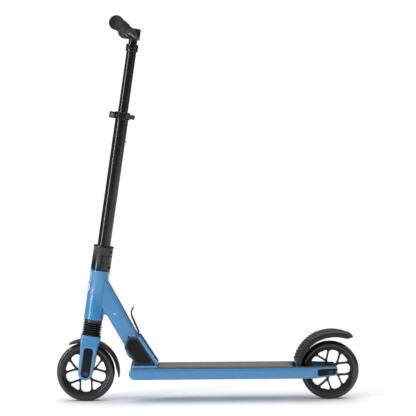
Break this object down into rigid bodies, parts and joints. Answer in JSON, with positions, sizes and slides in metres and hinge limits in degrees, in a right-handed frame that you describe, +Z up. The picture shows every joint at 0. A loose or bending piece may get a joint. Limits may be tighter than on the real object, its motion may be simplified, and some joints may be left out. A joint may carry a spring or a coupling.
{
  "type": "kick scooter",
  "caption": "Folding two-wheeled kick scooter with a telescopic T-bar, front suspension, aluminium deck and foot-brake fender.",
  "frame": {"origin": "on the ground midway between the two axles", "axes": "+Z up, -X forwards to the front wheel, -Y to the rider's left"},
  "size_m": [0.755, 0.4854, 0.9465],
  "materials": {
    "blue_aluminium": "painted satin blue",
    "black_aluminium": "painted satin black",
    "black_plastic": "moulded, fine grain",
    "rubber": "soft matt",
    "tyre": "cast urethane, satin",
    "grip_tape": "coarse grit",
    "badge": "printed plate",
    "dark_steel": "blackened",
    "steel": "zinc plated"
  },
  "bodies": {
    "deck": {"deck_platform": "blue_aluminium", "deck_nose": "blue_aluminium", "side_rail_left": "blue_aluminium", "side_rail_right": "blue_aluminium", "arm_inlay_left": "black_plastic", "arm_inlay_right": "black_plastic", "deck_mat": "rubber", "grip_tape": "grip_tape", "fold_bracket": "blue_aluminium", "hinge_cover_left": "black_plastic", "hinge_cover_right": "black_plastic", "pivot_bolt": "steel", "pivot_nut": "steel", "rear_axle": "steel", "rear_axle_nut": "steel", "fender_pin": "steel", "fender_spring": "steel"},
    "rear_wheel": {"rear_tyre": "tyre", "rear_rim": "black_plastic", "rear_bearing_left": "steel", "rear_bearing_right": "steel", "rear_bearing_spacer": "dark_steel"},
    "brake": {"rear_fender": "black_plastic", "brake_pad": "dark_steel"},
    "front_frame": {"front_frame": "blue_aluminium", "head_badge": "badge", "headset_bearing_upper": "steel", "headset_bearing_lower": "steel", "lever_pin": "steel"},
    "fold_lever": {"fold_lever": "black_aluminium"},
    "lock_pin": {"lock_pin": "steel"},
    "column": {"steerer_tube": "dark_steel", "clamp_sleeve": "black_aluminium", "clamp_bolt_upper": "steel", "clamp_bolt_lower": "steel", "lower_tube": "black_aluminium", "height_clamp": "black_aluminium", "clamp_skewer": "dark_steel", "suspension_spring": "steel", "bellows": "rubber"},
    "clamp_lever": {"clamp_lever": "black_aluminium"},
    "height_button": {"height_button": "steel"},
    "middle_tube": {"middle_tube": "black_aluminium", "bar_clamp": "black_aluminium", "bar_clamp_bolt": "steel"},
    "handlebar": {"handlebar": "black_aluminium", "grip_left": "rubber", "grip_right": "rubber"},
    "fork": {"fork": "blue_aluminium", "fork_inlay_left": "black_plastic", "fork_inlay_right": "black_plastic", "front_axle": "steel", "front_axle_nut": "steel", "front_fender": "black_plastic"},
    "front_wheel": {"front_tyre": "tyre", "front_rim": "black_plastic", "front_bearing_left": "steel", "front_bearing_right": "steel", "front_bearing_spacer": "dark_steel"}
  },
  "joints": [
    {"name": "fold", "type": "hinge", "parent": "deck", "child": "front_frame", "pos_m": [-0.1845, 0, 0.1416], "axis": [0, 1, 0], "range_deg": [0, 81]},
    {"name": "fold_lever", "type": "hinge", "parent": "front_frame", "child": "fold_lever", "pos_m": [-0.18378, 0, 0.16478], "axis": [0, 1, 0], "range_deg": [0, 28], "stiffness_Nm_per_rad": 0.5, "springref_deg": -11.46},
    {"name": "lock_pin", "type": "slide", "parent": "front_frame", "child": "lock_pin", "axis": [-0.4863, 0, 0.8738], "range_m": [0, 0.006]},
    {"name": "steering", "type": "hinge", "parent": "front_frame", "child": "column", "pos_m": [-0.305, 0, 0.0725], "axis": [0.1513, 0, 0.9885], "continuous": true},
    {"name": "suspension", "type": "slide", "parent": "column", "child": "fork", "axis": [0.1513, 0, 0.9885], "range_m": [0, 0.018], "stiffness_N_per_m": 12000, "springref_m": -0.005, "deforming": ["suspension_spring", "bellows"]},
    {"name": "front_wheel", "type": "hinge", "parent": "fork", "child": "front_wheel", "pos_m": [-0.305, 0, 0.0725], "axis": [0, 1, 0], "continuous": true},
    {"name": "rear_wheel", "type": "hinge", "parent": "deck", "child": "rear_wheel", "pos_m": [0.305, 0, 0.0725], "axis": [0, 1, 0], "continuous": true},
    {"name": "brake", "type": "hinge", "parent": "deck", "child": "brake", "pos_m": [0.2175, 0, 0.0685], "axis": [0, 1, 0], "range_deg": [0, 4], "stiffness_Nm_per_rad": 8, "springref_deg": -5.73},
    {"name": "column_height", "type": "slide", "parent": "column", "child": "middle_tube", "axis": [0.1513, 0, 0.9885], "range_m": [-0.145, 0]},
    {"name": "bar_height", "type": "slide", "parent": "middle_tube", "child": "handlebar", "axis": [0.1513, 0, 0.9885], "range_m": [0, 0.09]},
    {"name": "clamp_lever", "type": "hinge", "parent": "column", "child": "clamp_lever", "pos_m": [-0.23071, -0.025, 0.71465], "axis": [0.1513, 0, 0.9885], "range_deg": [0, 150]},
    {"name": "height_button", "type": "slide", "parent": "column", "child": "height_button", "axis": [-0.9885, 0, 0.1513], "range_m": [0, 0.002], "stiffness_N_per_m": 1500, "springref_m": -0.002}
  ],
  "couplings": [
    {"joint": "lock_pin", "follows": "fold_lever", "m_per_rad": 0.0119}
  ]
}
